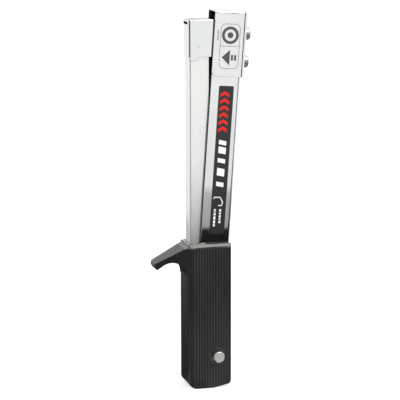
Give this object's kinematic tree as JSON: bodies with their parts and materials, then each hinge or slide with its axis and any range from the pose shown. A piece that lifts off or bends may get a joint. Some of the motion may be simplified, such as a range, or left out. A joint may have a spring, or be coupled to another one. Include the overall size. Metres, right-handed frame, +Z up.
{
  "type": "hammer tacker",
  "caption": "Stapling hammer with a fixed magazine in a ribbed grip, a finger hook and a sprung striker arm that pivots on a pin near the butt.",
  "frame": {"origin": "middle of the grip's flat butt end, on the centre of the grip's depth and width", "axes": "+Z up the grip to the head, -X the striking side with the finger hook, -Y the labelled side"},
  "size_m": [0.0809, 0.0386, 0.3047],
  "materials": {
    "grip_plastic": "satin, fine moulded texture",
    "chrome": "bright chromed sheet steel",
    "zinc_steel": "zinc plated, dull",
    "polished_steel": "turned and polished",
    "spring_steel": "drawn wire",
    "rubber_pad": "matte",
    "label_film": "printed film",
    "latch_plastic": "moulded"
  },
  "bodies": {
    "handle": {"grip_sleeve": "grip_plastic", "handle_liner": "zinc_steel", "magazine_channel": "chrome", "magazine_packer": "zinc_steel", "magazine_rivets": "zinc_steel", "staple_rail": "zinc_steel", "nose_cap": "chrome", "nose_plate": "zinc_steel", "butt_plate": "zinc_steel", "pivot_pin": "polished_steel", "pivot_cap": "polished_steel", "thrust_washers": "zinc_steel", "stop_strap": "zinc_steel", "stop_pad": "rubber_pad", "spring_seat": "zinc_steel", "return_spring": "spring_steel"},
    "striker_arm": {"arm_channel": "chrome", "arm_bush": "zinc_steel", "head_cover": "chrome", "head_packer": "zinc_steel", "head_rivets": "polished_steel", "driver_blade": "zinc_steel", "driver_clamp": "zinc_steel", "buffer_strips": "rubber_pad", "side_label": "label_film"},
    "follower": {"follower_latch": "latch_plastic", "follower_rod": "polished_steel", "follower_spring": "spring_steel"},
    "pusher": {"pusher": "zinc_steel"}
  },
  "joints": [
    {"name": "striker_pivot", "type": "hinge", "parent": "handle", "child": "striker_arm", "pos_m": [0.0063, 0, 0.0265], "axis": [0, 1, 0], "range_deg": [-4, 0], "stiffness_Nm_per_rad": 5, "springref_deg": 4.01, "deforming": ["return_spring"]},
    {"name": "follower_slide", "type": "slide", "parent": "handle", "child": "follower", "axis": [0, 0, 1], "range_m": [-0.2, 0]},
    {"name": "pusher_slide", "type": "slide", "parent": "follower", "child": "pusher", "axis": [0, 0, 1], "range_m": [-0.2, 0], "stiffness_N_per_m": 15, "springref_m": 0.04, "deforming": ["follower_spring"]}
  ]
}
